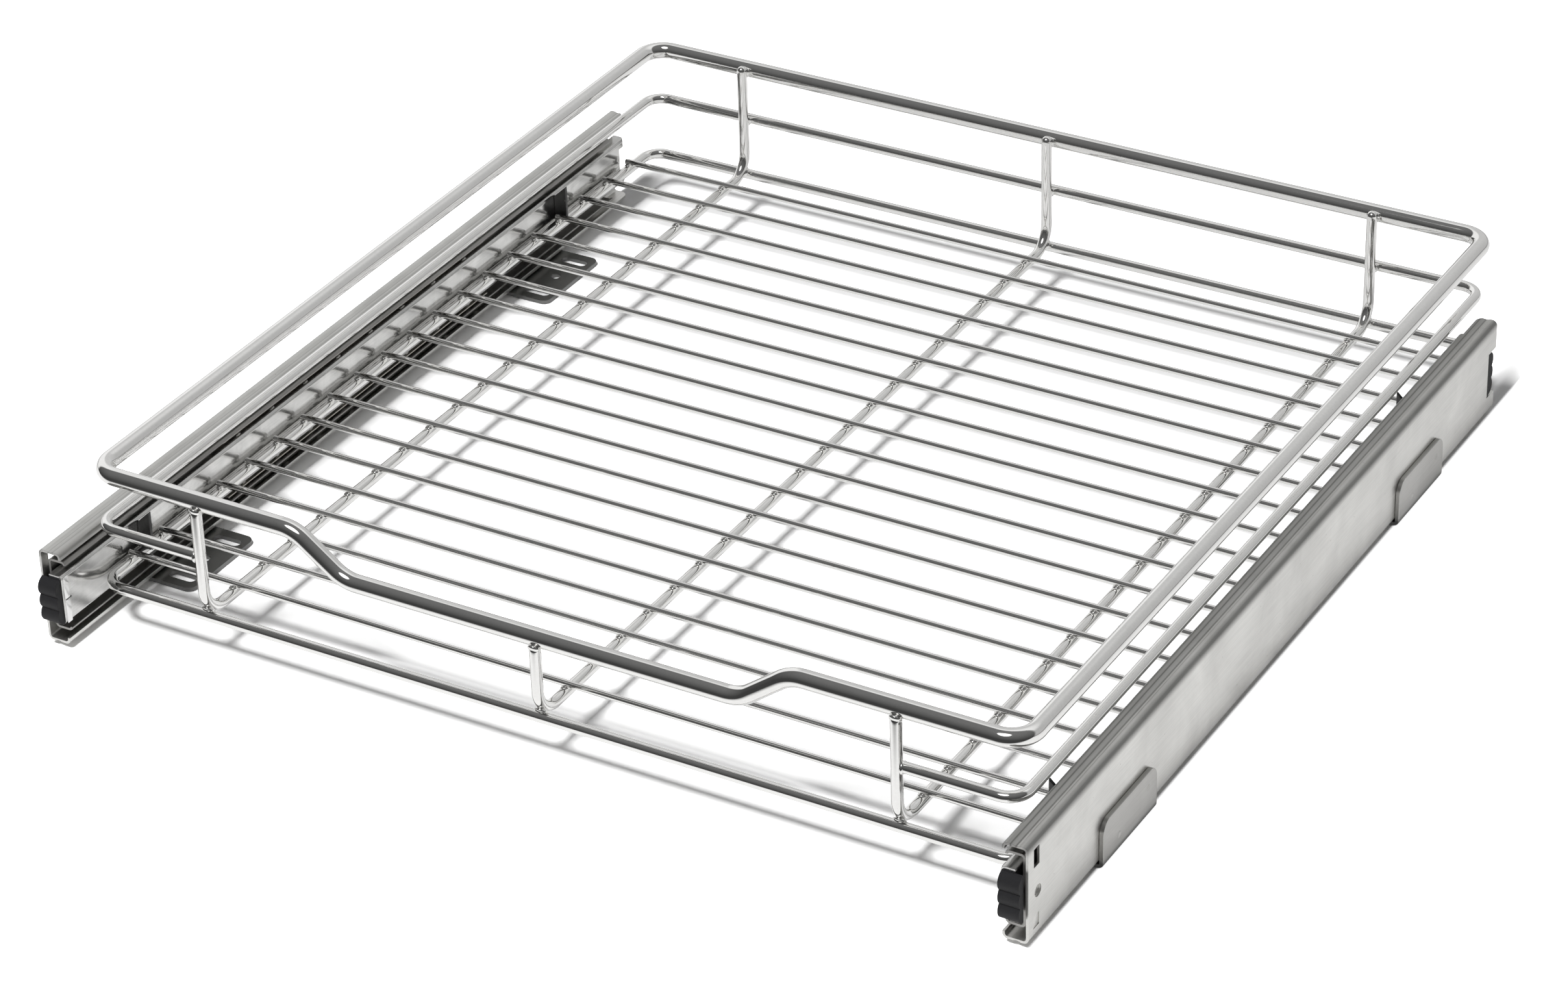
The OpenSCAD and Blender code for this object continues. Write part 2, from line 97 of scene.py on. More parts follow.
def newGroup(name, inputs, outputs):
    group = bpy.data.node_groups.new(name, "ShaderNodeTree")
    for label, value in inputs.items():
        socket = group.interface.new_socket(name=label, in_out="INPUT",
                                            socket_type="NodeSocketFloat")
        socket.default_value = value
    for label in outputs:
        group.interface.new_socket(name=label, in_out="OUTPUT", socket_type="NodeSocketFloat")
    return group, group.nodes.new("NodeGroupInput"), group.nodes.new("NodeGroupOutput")


def makeGrainGroup():
    # noise drawn out along Y, as rolling and drawing leave it on steel
    group, given, out = newGroup("rolledGrain", {"Across": 900, "Along": 900, "Low": 0, "High": 1},
                                 ["Mask"])
    place = addNode(group, "ShaderNodeTexCoord")
    size = addNode(group, "ShaderNodeCombineXYZ")
    stretch = addNode(group, "ShaderNodeVectorMath", operation="MULTIPLY")
    noise = addNode(group, "ShaderNodeTexNoise", {"Scale": 1, "Detail": 3, "Roughness": 0.55})
    spread = addRange(group, 0.3, 0.7)
    wire(group, given.outputs["Across"], size.inputs["X"])
    wire(group, given.outputs["Along"], size.inputs["Y"])
    wire(group, given.outputs["Across"], size.inputs["Z"])
    wire(group, place.outputs["Object"], stretch.inputs[0])
    wire(group, size.outputs["Vector"], stretch.inputs[1])
    wire(group, stretch.outputs["Vector"], noise.inputs["Vector"])
    wire(group, noise.outputs["Fac"], spread.inputs["Value"])
    wire(group, given.outputs["Low"], spread.inputs["To Min"])
    wire(group, given.outputs["High"], spread.inputs["To Max"])
    wire(group, spread.outputs["Result"], out.inputs["Mask"])
    return group


def makeCloudGroup():
    # soft patches of handling and plating
    group, given, out = newGroup("platingClouds", {"Scale": 30, "Contrast": 1}, ["Mask"])
    place = addNode(group, "ShaderNodeTexCoord")
    noise = addNode(group, "ShaderNodeTexNoise", {"Detail": 4, "Roughness": 0.6, "Distortion": 0.4})
    shift = addNode(group, "ShaderNodeMath", {1: 0.5}, operation="SUBTRACT")
    scale = addNode(group, "ShaderNodeMath", operation="MULTIPLY")
    back = addNode(group, "ShaderNodeMath", {1: 0.5}, operation="ADD", use_clamp=True)
    wire(group, place.outputs["Object"], noise.inputs["Vector"])
    wire(group, given.outputs["Scale"], noise.inputs["Scale"])
    wire(group, noise.outputs["Fac"], shift.inputs[0])
    wire(group, shift.outputs["Value"], scale.inputs[0])
    wire(group, given.outputs["Contrast"], scale.inputs[1])
    wire(group, scale.outputs["Value"], back.inputs[0])
    wire(group, back.outputs["Value"], out.inputs["Mask"])
    return group


def makePitGroup():
    # small scattered pits and specks: 1 in a pit, 0 beside it
    group, given, out = newGroup("smallPits", {"Scale": 300, "Size": 0.1}, ["Mask"])
    place = addNode(group, "ShaderNodeTexCoord")
    cells = addNode(group, "ShaderNodeTexVoronoi", {"Randomness": 1})
    inside = addRange(group, 0, 1, 1, 0, eased=True)
    wire(group, place.outputs["Object"], cells.inputs["Vector"])
    wire(group, given.outputs["Scale"], cells.inputs["Scale"])
    wire(group, cells.outputs["Distance"], inside.inputs["Value"])
    wire(group, given.outputs["Size"], inside.inputs["From Max"])
    wire(group, inside.outputs["Result"], out.inputs["Mask"])
    return group


def makeFlangeShadeGroup(bands):
    # painted shade and reflection along a channel's top flange: dark lines standing in for the
    # reflections of its rolled groove and bends, and for the top rail's shadow; 1 on a line, 0 off
    # the flange
    group, given, out = newGroup("paintedFlangeShade", {"Duller": 0}, ["Mask"])
    place = addNode(group, "ShaderNodeTexCoord")
    parts = addNode(group, "ShaderNodeSeparateXYZ")
    wide = addNode(group, "ShaderNodeMath", operation="ABSOLUTE")
    inner, outer = bands["lines"][0][0], bands["lines"][-1][0]
    share = addRange(group, inner * mm, outer * mm)
    ramp = addNode(group, "ShaderNodeValToRGB")
    stops = ramp.color_ramp.elements
    for number, (x, depth) in enumerate(bands["lines"]):
        spot = (x - inner) / (outer - inner)
        stop = stops[-1] if spot == 1 else stops[0] if number == 0 else stops.new(spot)
        stop.color = (depth, depth, depth, 1)
    high = addRange(group, bands["low"] * mm, bands["high"] * mm, eased=True)
    side = addRange(group, -10 * mm, 10 * mm, bands["leftShare"], 1)
    flange = addNode(group, "ShaderNodeMath", operation="MULTIPLY")
    mask = addNode(group, "ShaderNodeMath", operation="MULTIPLY")
    scaled = addNode(group, "ShaderNodeMath", operation="MULTIPLY")
    wire(group, place.outputs["Object"], parts.inputs["Vector"])
    wire(group, parts.outputs["X"], wide.inputs[0])
    wire(group, wide.outputs["Value"], share.inputs["Value"])
    wire(group, share.outputs["Result"], ramp.inputs["Fac"])
    wire(group, parts.outputs["Z"], high.inputs["Value"])
    wire(group, parts.outputs["X"], side.inputs["Value"])
    wire(group, high.outputs["Result"], flange.inputs[0])
    wire(group, side.outputs["Result"], flange.inputs[1])
    wire(group, ramp.outputs["Color"], mask.inputs[0])
    wire(group, flange.outputs["Value"], mask.inputs[1])
    wire(group, mask.outputs["Value"], scaled.inputs[0])
    wire(group, given.outputs["Duller"], scaled.inputs[1])
    wire(group, scaled.outputs["Value"], out.inputs["Mask"])
    return group


flangeShadeLines = {
    # mm from the middle of the basket, and how dark the painted shade is there
    "lines": [(222.6, 0.9), (223.2, 0.6), (225.4, 0.55), (226.0, 0.95), (226.6, 0.5),
              (227.8, 0.5), (228.3, 0.85), (228.9, 0.35), (230.8, 0.25), (231.6, 0.5),
              (232.6, 0.75), (233.6, 0.7)],
    "low": 42.4, "high": 46,   # heights between which they come in
    "leftShare": 0.6,          # the painted shade is fainter on the left slide, where the top rail's shadow misses the flange
}
rolledGrain = makeGrainGroup()
paintedFlangeShade = makeFlangeShadeGroup(flangeShadeLines)
platingClouds = makeCloudGroup()
smallPits = makePitGroup()


def useGroup(tree, group, **values):
    node = tree.nodes.new("ShaderNodeGroup")
    node.node_tree = group
    for label, value in values.items():
        node.inputs[label.capitalize()].default_value = value
    return node.outputs["Mask"]


def makeSurface(name, finish):
    material = bpy.data.materials.new(name)
    material.use_nodes = True
    tree = material.node_tree
    shader = tree.nodes["Principled BSDF"]
    shader.inputs["Metallic"].default_value = finish["metallic"]
    clouds = useGroup(tree, platingClouds, scale=finish["cloudScale"],
                      contrast=finish["cloudContrast"])
    grain = useGroup(tree, rolledGrain, across=finish["across"], along=finish["along"])
    pits = useGroup(tree, smallPits, scale=finish["pitScale"], size=finish["pitSize"])

    both = addNode(tree, "ShaderNodeMix", {"Factor": finish["cloudShare"]})
    wire(tree, grain, both.inputs["A"])
    wire(tree, clouds, both.inputs["B"])
    tone = addNode(tree, "ShaderNodeMix", data_type="RGBA")
    tone.inputs["A"].default_value = (*finish["dark"], 1)
    tone.inputs["B"].default_value = (*finish["light"], 1)
    wire(tree, both.outputs["Result"], tone.inputs["Factor"])
    speck = addNode(tree, "ShaderNodeMix", data_type="RGBA")
    speck.inputs["B"].default_value = (*finish["speck"], 1)
    wire(tree, pits, speck.inputs["Factor"])
    wire(tree, tone.outputs["Result"], speck.inputs["A"])
    colour = speck.outputs["Result"]
    # painted shade and reflection lines on the channels' top flanges
    if "band" in finish:
        banded = addNode(tree, "ShaderNodeMix", data_type="RGBA")
        banded.inputs["B"].default_value = (*finish["band"], 1)
        wire(tree, useGroup(tree, paintedFlangeShade, duller=1), banded.inputs["Factor"])
        wire(tree, colour, banded.inputs["A"])
        colour = banded.outputs["Result"]
    if "soot" in finish:
        # painted shade: the feet are darkened low down, where the floor plates lie in the shade of
        # the basket and slides, so they come out darker than the wall plates above them
        place = addNode(tree, "ShaderNodeTexCoord")
        parts = addNode(tree, "ShaderNodeSeparateXYZ")
        low = addRange(tree, finish["sootEnd"] * mm, finish["sootTop"] * mm)
        shadedLow = addNode(tree, "ShaderNodeMix", data_type="RGBA")
        shadedLow.inputs["B"].default_value = (*finish["soot"], 1)
        wire(tree, place.outputs["Object"], parts.inputs["Vector"])
        wire(tree, parts.outputs["Z"], low.inputs["Value"])
        wire(tree, low.outputs["Result"], shadedLow.inputs["Factor"])
        wire(tree, colour, shadedLow.inputs["A"])
        colour = shadedLow.outputs["Result"]
    wire(tree, colour, shader.inputs["Base Color"])

    rough = addRange(tree, 0, 1, *finish["roughness"])
    wire(tree, both.outputs["Result"], rough.inputs["Value"])
    wire(tree, rough.outputs["Result"], shader.inputs["Roughness"])

    relief = addNode(tree, "ShaderNodeMath", operation="SUBTRACT")
    wire(tree, grain, relief.inputs[0])
    wire(tree, pits, relief.inputs[1])
    bump = addNode(tree, "ShaderNodeBump",
                   {"Strength": finish["bump"], "Distance": finish["bumpDepth"] * mm})
    wire(tree, relief.outputs["Value"], bump.inputs["Height"])
    wire(tree, bump.outputs["Normal"], shader.inputs["Normal"])
    return material


chromeFinish = {
    "metallic": 1,
    "light": (0.9, 0.895, 0.88),
    "dark": (0.83, 0.825, 0.81),
    "speck": (0.55, 0.54, 0.53),
    "roughness": (0.04, 0.08),
    "cloudScale": 60, "cloudContrast": 2.2, "cloudShare": 0.5,
    "across": 900, "along": 900,
    "pitScale": 420, "pitSize": 0.08,
    "bump": 0.03, "bumpDepth": 0.02,
}
zincFinish = {
    "metallic": 0.92,
    "light": (0.84, 0.835, 0.81),
    "dark": (0.56, 0.555, 0.535),
    "speck": (0.42, 0.41, 0.39),
    "roughness": (0.26, 0.4),
    "cloudScale": 26, "cloudContrast": 2.2, "cloudShare": 0.75,
    "across": 1500, "along": 40,
    "pitScale": 160, "pitSize": 0.07,
    "bump": 0.06, "bumpDepth": 0.04,
}
# the slides' outer channels carry the painted flange shade lines
channelFinish = dict(zincFinish, band=(0.13, 0.13, 0.125))
runnerFinish = dict(zincFinish, metallic=0.95, roughness=(0.1, 0.2), light=(0.82, 0.815, 0.8),
                    dark=(0.5, 0.5, 0.49), cloudScale=70, cloudShare=0.75)
# near-white: the painted highlight of the lips at the inner webs' front ends
highlightFinish = dict(runnerFinish, light=(1, 1, 0.99), dark=(0.96, 0.96, 0.95), metallic=0.6)
# darker: painted shade of the narrow gaps that the intermediate channel lies in
middleFinish = dict(zincFinish, metallic=0.85, light=(0.48, 0.475, 0.46),
                    dark=(0.28, 0.275, 0.265))
# feet: a darker zinc, with painted shade on the floor plates, full below 2.4 mm and gone by 4.32 mm
footFinish = dict(zincFinish, light=(0.56, 0.555, 0.54), dark=(0.36, 0.355, 0.34),
                  soot=(0.2, 0.2, 0.195), sootTop=2.4, sootEnd=4.32)
# near black: a painted dark reflection on the brackets, also used for the painted shadow in the
# lips' nick
bracketFinish = dict(zincFinish, metallic=0.9, light=(0.11, 0.11, 0.11), dark=(0.06, 0.06, 0.06),
                     roughness=(0.3, 0.45))
cageFinish = dict(zincFinish, light=(0.62, 0.6, 0.55), dark=(0.5, 0.48, 0.44),
                  roughness=(0.3, 0.4))
ballFinish = dict(chromeFinish, roughness=(0.04, 0.09))
rubberFinish = {
    "metallic": 0,
    "light": (0.022, 0.022, 0.024),
    "dark": (0.012, 0.012, 0.013),
    "speck": (0.035, 0.035, 0.037),
    "roughness": (0.62, 0.8),
    "cloudScale": 90, "cloudContrast": 1.6, "cloudShare": 0.4,
    "across": 2600, "along": 2600,
    "pitScale": 900, "pitSize": 0.12,
    "bump": 0.25, "bumpDepth": 0.05,
}

chrome = makeSurface("chromedWire", chromeFinish)
zinc = makeSurface("zincSheet", zincFinish)
channelZinc = makeSurface("channelZinc", channelFinish)
runnerZinc = makeSurface("runnerZinc", runnerFinish)
middleSteel = makeSurface("middleSteel", middleFinish)
highlightZinc = makeSurface("highlightZinc", highlightFinish)
footSteel = makeSurface("footSteel", footFinish)
bracketSteel = makeSurface("bracketSteel", bracketFinish)
cageSteel = makeSurface("cageSteel", cageFinish)
ballSteel = makeSurface("ballSteel", ballFinish)
rubber = makeSurface("blackRubber", rubberFinish)
print("materials made")


def only(obj):
    bpy.ops.object.select_all(action="DESELECT")
    obj.select_set(True)
    bpy.context.view_layer.objects.active = obj


def finishPiece(obj, material, body, replaced=(), smoothAngle=40):
    only(obj)
    bpy.ops.object.transform_apply(location=True, rotation=True, scale=True)
    if smoothAngle:
        bpy.ops.object.shade_smooth_by_angle(angle=math.radians(smoothAngle))
    obj.data.materials.clear()
    obj.data.materials.append(material)
    if replaced:
        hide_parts(*replaced)
    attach(obj, body)


def pieceName(nodeName):
    first, *others = nodeName.split("_")
    return first + "".join(word.capitalize() for word in others)


wireMerge = 0.005   # mm, closes a ring of wire
longRun = 3         # radii


def layWire(name, gauge, start, way, moves, tips=None):
    # moves: a number is a straight run in mm, (degrees, radius, axis) is a bend.
    # tips: how both ends close, as (way along, width) in shares of the radius; none closes a ring
    point, way, radius = Vector(start), Vector(way), gauge["radius"]
    width = tips[0][0][1] if tips else 1
    bpy.ops.object.select_all(action="DESELECT")
    bpy.ops.mesh.primitive_circle_add(vertices=gauge["sides"], radius=radius * width * mm,
                                      fill_type="NGON" if tips else "NOTHING", location=point * mm,
                                      rotation=way.to_track_quat("Z", "Y").to_euler())
    obj = bpy.context.object
    obj.name = name
    bpy.ops.object.transform_apply(location=True, rotation=True, scale=True)
    bpy.ops.object.mode_set(mode="EDIT")
    bpy.ops.mesh.select_all(action="SELECT")
    steps = list(moves)
    if tips:
        startTip, endTip = tips
        grow = [("tip", b[0] - a[0], b[1] / a[1]) for a, b in zip(startTip, startTip[1:])]
        shrink = [("tip", a[0] - b[0], b[1] / a[1])
                  for a, b in zip(endTip[::-1], endTip[-2::-1])]
        steps = grow + steps + shrink
    for step in steps:
        if isinstance(step, tuple) and step[0] == "tip":
            move, share = step[1] * radius, step[2]
            point = point + way * move
            bpy.ops.mesh.extrude_region_move(TRANSFORM_OT_translate={"value": way * move * mm})
            bpy.ops.transform.resize(value=(share, share, share), center_override=point * mm)
        elif isinstance(step, tuple):
            degrees, bend, axis = step
            centre = point + axis.cross(way) * math.copysign(bend, degrees)
            count = max(3, round(abs(degrees) / gauge["bendStep"]))
            bpy.ops.mesh.spin(steps=count, angle=math.radians(-degrees), center=centre * mm,
                              axis=axis)
            turn = Matrix.Rotation(math.radians(degrees), 3, axis)
            point, way = centre + turn @ (point - centre), turn @ way
        else:
            # rings close to both ends keep the shine of a long straight run even
            near = radius / 2
            runs = [near, step - 2 * near, near] if step > longRun * radius else [step]
            for run in runs:
                bpy.ops.mesh.extrude_region_move(TRANSFORM_OT_translate={"value": way * run * mm})
                point = point + way * run
    bpy.ops.mesh.select_all(action="SELECT")
    bpy.ops.mesh.remove_doubles(threshold=wireMerge * mm)
    bpy.ops.mesh.normals_make_consistent(inside=False)
    bpy.ops.object.mode_set(mode="OBJECT")
    return obj


# the basket's three thicknesses of wire, and how their ends close
topGauge = {"radius": 4, "sides": 40, "bendStep": 3.5}
frameGauge = {"radius": 2.5, "sides": 32, "bendStep": 5}
floorGauge = {"radius": 1.5, "sides": 20, "bendStep": 10}
cutTip = [(0, 0.8), (0.08, 0.93), (0.26, 1)]                    # sheared and tumbled
domedTip = [(1 - math.cos(math.radians(angle)), math.sin(math.radians(angle)))
            for angle in (12, 28, 44, 60, 75, 90)]

basket = {
    "topHalf": 219, "topFront": -213.5, "topBack": 239.5, "topHeight": 75.6, "topCorner": 11,
    "dipAngle": math.degrees(math.atan2(3, 4)), "dipBend": 18, "dipRun": 17.5,
    "dipIn": 87.6, "dipOut": 123.2, "dipHeight": 57.9,
    "lowHalf": 218.5, "lowCorner": 9,
    "midFront": -215.4, "midBack": 238, "midHeight": 49.6,
    "floorFront": -216.6, "floorBack": 232.95, "floorHeight": 21.8,
    "ribAt": {"rib_left": -165.2, "rib_centre": 0, "rib_right": 165.2},
    "ribBend": 12.19,
    "crossFirst": -196.01, "crossLast": 210.66, "crossCount": 20, "crossHalf": 219.8,
    "crossHeight": 25.85,
    "endGap": 1.6,      # from a welded wire end to the middle of the wire that it meets
}


def layTopRail(b):
    side, flat = b["topCorner"], b["topHalf"] - b["topCorner"]
    down, up = (b["dipAngle"], b["dipBend"], yAxis), (-b["dipAngle"], b["dipBend"], yAxis)
    corner = (90, side, zAxis)
    depth = b["topBack"] - b["topFront"] - 2 * side
    moves = [flat - b["dipOut"], down, b["dipRun"], up, 2 * b["dipIn"], up, b["dipRun"], down,
             flat - b["dipOut"], corner, depth, corner, 2 * flat, corner, depth, corner]
    return layWire("topRail", topGauge, (-flat, b["topFront"], b["topHeight"]), xAxis, moves)


def layBottomRail(b):
    side, flat = b["lowCorner"], b["lowHalf"] - b["lowCorner"]
    corner = (90, side, zAxis)
    depth = b["floorBack"] - b["floorFront"] - 2 * side
    moves = [2 * flat, corner, depth, corner, 2 * flat, corner, depth, corner]
    start = (-flat, b["floorFront"], b["floorHeight"])
    return layWire("bottomRail", frameGauge, start, xAxis, moves)


def layMiddleRail(b):
    side, flat = b["lowCorner"], b["lowHalf"] - b["lowCorner"]
    corner = (-90, side, zAxis)
    depth = b["midBack"] - b["midFront"] - 2 * side
    rib = b["ribAt"]["rib_right"]
    stub = flat - rib - b["endGap"]
    moves = [stub, corner, depth, corner, 2 * flat, corner, depth, corner, stub]
    start = (-rib - b["endGap"], b["midFront"], b["midHeight"])
    return layWire("middleRail", frameGauge, start, -xAxis, moves, (cutTip, cutTip))


def frontRailHeight(b, x):
    return b["dipHeight"] if x == 0 else b["topHeight"]


def layRib(b, name, x):
    # both tips are domes, one wire radius long
    dome, railTop = frameGauge["radius"], b["topHeight"] + topGauge["radius"]
    top, low = frontRailHeight(b, x) - b["endGap"], b["floorHeight"] + b["ribBend"]
    run = b["floorBack"] - b["floorFront"] - 2 * b["ribBend"]
    bend = (90, b["ribBend"], xAxis)
    moves = [top - low - dome, bend, run, bend, railTop - dome - low]
    return layWire(pieceName(name), frameGauge, (x, b["floorFront"], top), -zAxis, moves,
                   (domedTip, domedTip))


def crossPlace(b, number):
    return b["crossFirst"] + (b["crossLast"] - b["crossFirst"]) * number / (b["crossCount"] - 1)


def layCrossWires(b):
    start = (-b["crossHalf"], crossPlace(b, 0), b["crossHeight"])
    tipLength = cutTip[-1][0] * floorGauge["radius"]
    master = layWire("crossWire1", floorGauge, start, xAxis, [2 * (b["crossHalf"] - tipLength)],
                     (cutTip, cutTip))
    made = [master]
    for number in range(1, b["crossCount"]):
        copy = bpy.data.objects.new(f"crossWire{number + 1}", master.data.copy())
        copy.location.y = (crossPlace(b, number) - crossPlace(b, 0)) * mm
        bpy.context.collection.objects.link(copy)
        made.append(copy)
    return made


finishPiece(layTopRail(basket), chrome, "basket", ["top_rail"])
finishPiece(layMiddleRail(basket), chrome, "basket", ["middle_rail"])
finishPiece(layBottomRail(basket), chrome, "basket", ["bottom_rail"])
for ribNode, ribX in basket["ribAt"].items():
    finishPiece(layRib(basket, ribNode, ribX), chrome, "basket", [ribNode])
for wireNumber, crossWire in enumerate(layCrossWires(basket), 1):
    finishPiece(crossWire, chrome, "basket", [f"cross_wire_{wireNumber}"])
print("basket wires laid")

welds = {
    "floor": (2.1, 2.9, 1.15), "edge": (1.7, 2.4, 1.0), "joint": (3.0, 3.0, 1.5),   # half sizes
    "sides": 12, "rings": 6,
    "crownFrom": 0.3,              # above this share of its height a bead draws in and leans
    "crownWidth": 0.86,
    "crownLean": (0.08, 0.06),
    "underWire": 1.75,             # floor and edge beads, below the middle of a cross wire
    "turns": (-4, -1.7, 0.6, 2.9, 5.2),      # so that no two neighbours lie alike
    # joint beads: way to the back and up from the middle of the wire, and the tilt
    "frontTop": (-0.5, -3.1, -50),
    "backTop": (2.55, 0, 90),
    "backMiddle": (2.5, 0, 90),
    "frontFoot": (1.77, 1.77, -45),
    "backFoot": (-1.77, 1.77, 45),
    "stubOut": 2.6, "stubFront": 0.4,
}


def shapeBead(name, half, w):
    # a squashed drop of molten wire, fuller on one side
    bpy.ops.object.select_all(action="DESELECT")
    bpy.ops.mesh.primitive_uv_sphere_add(segments=w["sides"], ring_count=w["rings"], radius=mm)
    bead = bpy.context.object
    bead.name = name
    bead.scale = half
    bpy.ops.object.transform_apply(location=True, rotation=True, scale=True)
    bpy.ops.object.mode_set(mode="EDIT")
    bpy.ops.mesh.select_mode(type="VERT")
    bpy.ops.mesh.select_all(action="DESELECT")
    bpy.ops.object.mode_set(mode="OBJECT")
    for corner in bead.data.vertices:
        corner.select = corner.co.z > w["crownFrom"] * half[2] * mm
    bpy.ops.object.mode_set(mode="EDIT")
    bpy.ops.transform.resize(value=(w["crownWidth"], w["crownWidth"], 1))
    leanX, leanY = w["crownLean"]
    bpy.ops.transform.translate(value=(leanX * half[0] * mm, leanY * half[1] * mm, 0))
    bpy.ops.object.mode_set(mode="OBJECT")
    return bead


def setBeads(name, bead, places):
    copies = []
    for place, turn in places:
        copy = bpy.data.objects.new(name, bead.data.copy())
        copy.matrix_world = Matrix.Translation(Vector(place) * mm) @ turn
        bpy.context.collection.objects.link(copy)
        copies.append(copy)
    only(copies[0])
    for copy in copies:
        copy.select_set(True)
    bpy.ops.object.join()
    joined = bpy.context.object
    joined.name = name
    return joined


def layFloorWelds(b, w):
    level = b["crossHeight"] - w["underWire"]
    turns = [Matrix.Rotation(math.radians(degrees), 4, "Z") for degrees in w["turns"]]
    return [((x, crossPlace(b, number), level), turns[number % len(turns)])
            for number in range(b["crossCount"]) for x in b["ribAt"].values()]


def layEdgeWelds(b, w):
    level = b["crossHeight"] - w["underWire"]
    return [((side * b["lowHalf"], crossPlace(b, number), level), Matrix.Identity(4))
            for number in range(b["crossCount"]) for side in (-1, 1)]


def layJointWelds(b, w):
    front, back, low = b["floorFront"], b["floorBack"], b["floorHeight"]
    places = []
    for x in b["ribAt"].values():
        joints = (("frontTop", front, frontRailHeight(b, x)), ("backTop", back, b["topHeight"]),
                  ("backMiddle", back, b["midHeight"]), ("frontFoot", front, low),
                  ("backFoot", back, low))
        for joint, y, z in joints:
            behind, above, tilt = w[joint]
            turn = Matrix.Rotation(math.radians(tilt), 4, "X")
            places.append(((x, y + behind, z + above), turn))
    sideways = Matrix.Rotation(math.radians(90), 4, "Y")
    for side in (-1, 1):
        x = side * (b["ribAt"]["rib_right"] + w["stubOut"])
        places.append(((x, b["midFront"] - w["stubFront"], b["midHeight"]), sideways))
    return places


for beadKind, layWelds in (("floor", layFloorWelds), ("edge", layEdgeWelds),
                           ("joint", layJointWelds)):
    bead = shapeBead(f"{beadKind}Bead", welds[beadKind], welds)
    beadSet = setBeads(f"{beadKind}Welds", bead, layWelds(basket, welds))
    finishPiece(beadSet, chrome, "basket", smoothAngle=180)
    bpy.data.objects.remove(bead)
print("weld beads set")

# slides, feet, brackets and bumpers: finish, slot, rounding of the edges, body
pressedParts = {
    "outer_channel": (channelZinc, "slide_steel", 0.25, "cabinet_members"),
    "intermediate_channel": (middleSteel, "slide_steel", 0.2, "intermediate"),
    "inner_channel": (runnerZinc, "slide_steel", 0.2, "basket"),
    "outer_cage": (cageSteel, "cage_steel", 0.1, "outer_cage"),
    "inner_cage": (cageSteel, "cage_steel", 0.1, "inner_cage"),
    "outer_balls": (ballSteel, "ball_steel", 0, "outer_cage"),
    "inner_balls": (ballSteel, "ball_steel", 0, "inner_cage"),
    "foot_front": (footSteel, "slide_steel", 0.35, "cabinet_members"),
    "foot_rear": (footSteel, "slide_steel", 0.35, "cabinet_members"),
    "bracket_front": (bracketSteel, "bracket_steel", 0.25, "basket"),
    "bracket_rear": (bracketSteel, "bracket_steel", 0.25, "basket"),
    "front_bumper": (rubber, "black_rubber", 0.4, "basket"),
    "rear_bumper": (rubber, "black_rubber", 0.4, "cabinet_members"),
}
movingPairs = ("intermediate", "outer_cage", "inner_cage")   # each side has its own of these
pressing = {
    "merge": 0.002, "flatWithin": 0.4,
    "smoothBelow": 32, "roundAbove": 40, "roundSteps": 2,
}


def dressNode(kind, side, material, edge, body, p):
    nodeName = f"{kind}_{side}"
    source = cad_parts[nodeName]
    piece = bpy.data.objects.new(pieceName(nodeName), source.data.copy())
    bpy.context.collection.objects.link(piece)
    only(piece)
    bpy.ops.object.mode_set(mode="EDIT")
    bpy.ops.mesh.select_all(action="SELECT")
    bpy.ops.mesh.remove_doubles(threshold=p["merge"] * mm)
    bpy.ops.mesh.dissolve_limited(angle_limit=math.radians(p["flatWithin"]))
    bpy.ops.object.mode_set(mode="OBJECT")
    bpy.ops.object.shade_smooth_by_angle(angle=math.radians(p["smoothBelow"]))
    if edge:
        rounding = piece.modifiers.new("edges", "BEVEL")
        rounding.width = edge * mm
        rounding.segments = p["roundSteps"]
        rounding.limit_method = "ANGLE"
        rounding.angle_limit = math.radians(p["roundAbove"])
        rounding.use_clamp_overlap = True
        rounding.harden_normals = True
        bpy.ops.object.modifier_apply(modifier=rounding.name)
        # keeps the large faces flat beside the bends and dimples
        flat = piece.modifiers.new("flatFaces", "WEIGHTED_NORMAL")
        flat.weight = 100
        flat.keep_sharp = True
        bpy.ops.object.modifier_apply(modifier=flat.name)
    bodyName = f"{body}_{side}" if body in movingPairs else body
    finishPiece(piece, material, bodyName, [nodeName], None)


for kindName, (partMaterial, partSlot, edgeWidth, bodyKind) in pressedParts.items():
    for sideName in ("left", "right"):
        dressNode(kindName, sideName, partMaterial, edgeWidth, bodyKind, pressing)
print("slides dressed")


def addSheet(name, centre, size, edge):
    # a thin plate with its edges broken all round
    bpy.ops.object.select_all(action="DESELECT")
    bpy.ops.mesh.primitive_cube_add(size=1, location=Vector(centre) * mm)
    sheet = bpy.context.object
    sheet.name = name
    sheet.scale = Vector(size) * mm
    bpy.ops.object.transform_apply(location=True, rotation=True, scale=True)
    bpy.ops.object.mode_set(mode="EDIT")
    bpy.ops.mesh.select_all(action="SELECT")
    bpy.ops.mesh.bevel(offset=edge * mm, segments=2, affect="EDGES")
    bpy.ops.object.mode_set(mode="OBJECT")
    return sheet


# the front end of each inner web: two lips in a near-white finish, a painted highlight standing in
# for the reflection of a bent lip, with a near-black sheet between them as the painted shadow of a
# nick
lip = {
    "face": 222.2, "proud": 0.02, "thick": 0.14, "edge": 0.06,
    "front": -238.3, "back": -235.2,
    "low": 13.2, "split": 24.6, "slit": 0.6, "high": 35.6,
    "nickBehind": 0.8, "nickLonger": 0.4,
}


